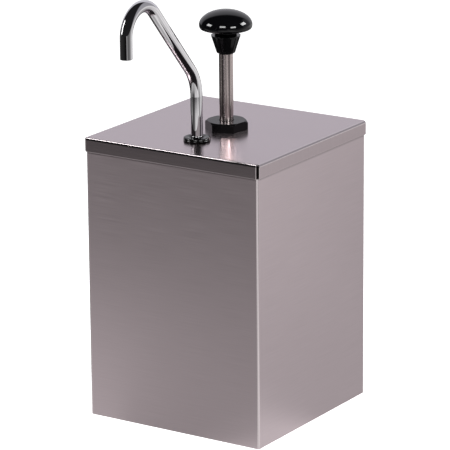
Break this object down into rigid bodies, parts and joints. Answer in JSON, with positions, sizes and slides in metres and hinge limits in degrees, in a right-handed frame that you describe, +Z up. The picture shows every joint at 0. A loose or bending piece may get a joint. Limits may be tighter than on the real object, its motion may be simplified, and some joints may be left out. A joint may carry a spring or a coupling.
{
  "type": "condiment pump dispenser",
  "caption": "Square stainless steel countertop box with a lift-off lid, an inner jar, and a plunger pump with a black knob and a bent chrome spout.",
  "frame": {"origin": "underside of the box, on the vertical axis of the pump plunger", "axes": "+Z up along the plunger, -Y the side that the spout points to, +X to the right as seen from the spout side"},
  "size_m": [0.184, 0.2522, 0.4018],
  "materials": {
    "brushed_steel": "horizontal brushed grain",
    "black_plastic": "polished moulding",
    "black_rubber": "smooth moulded",
    "seal_rubber": "smooth moulded",
    "white_plastic": "satin moulded",
    "jar_plastic": "satin moulded",
    "polished_steel": "polished",
    "spring_steel": "drawn wire",
    "brass": "turned",
    "chrome": "mirror"
  },
  "bodies": {
    "box": {"box_wrap": "brushed_steel", "bottom_pan": "brushed_steel"},
    "jar": {"insert_jar": "jar_plastic"},
    "lid": {"lid_panel": "brushed_steel", "lock_nut": "black_plastic", "wiper_seal": "black_rubber", "lid_gasket": "black_rubber", "spout_grommet": "black_rubber", "pump_cylinder": "white_plastic", "guide_bush": "white_plastic", "valve_body": "white_plastic", "barrel_seal": "seal_rubber", "ball_retainer": "white_plastic", "union_seal": "seal_rubber", "union_nut": "white_plastic", "discharge_elbow": "white_plastic", "ball_stop_pin": "polished_steel", "riser_tube": "polished_steel", "spout_socket": "white_plastic", "spout_seal_upper": "seal_rubber", "spout_seal_lower": "seal_rubber", "tube_clip": "white_plastic", "return_spring": "spring_steel"},
    "seal": {"piston_seal": "seal_rubber"},
    "plunger": {"plunger_knob": "black_plastic", "knob_insert": "brass", "knob_stud": "polished_steel", "knob_collar": "black_plastic", "plunger_tube": "polished_steel", "stop_bumper": "black_rubber", "stop_collar": "polished_steel", "piston_stud": "polished_steel", "piston": "white_plastic", "piston_washer": "polished_steel", "piston_nut": "polished_steel"},
    "spout": {"spout_tube": "chrome"},
    "inlet_valve": {"inlet_ball": "polished_steel"},
    "outlet_valve": {"outlet_ball": "polished_steel"}
  },
  "joints": [
    {"name": "jar_lift", "type": "slide", "parent": "box", "child": "jar", "axis": [0, 0, 1], "range_m": [0, 0.262]},
    {"name": "lid_lift", "type": "slide", "parent": "jar", "child": "lid", "axis": [0, 0, 1], "range_m": [0, 0.26]},
    {"name": "plunger_press", "type": "slide", "parent": "lid", "child": "seal", "axis": [0, 0, -1], "range_m": [0, 0.058], "stiffness_N_per_m": 260, "springref_m": -0.05, "deforming": ["return_spring"]},
    {"name": "plunger_turn", "type": "hinge", "parent": "seal", "child": "plunger", "pos_m": [0, 0, 0.2], "axis": [0, 0, 1], "continuous": true},
    {"name": "spout_swivel", "type": "hinge", "parent": "lid", "child": "spout", "pos_m": [0, -0.048, 0.25], "axis": [0, 0, 1], "range_deg": [-130, 130]},
    {"name": "inlet_ball_lift", "type": "slide", "parent": "lid", "child": "inlet_valve", "axis": [0, 0, 1], "range_m": [0, 0.004]},
    {"name": "outlet_ball_lift", "type": "slide", "parent": "lid", "child": "outlet_valve", "axis": [0, 0, 1], "range_m": [0, 0.005]}
  ]
}
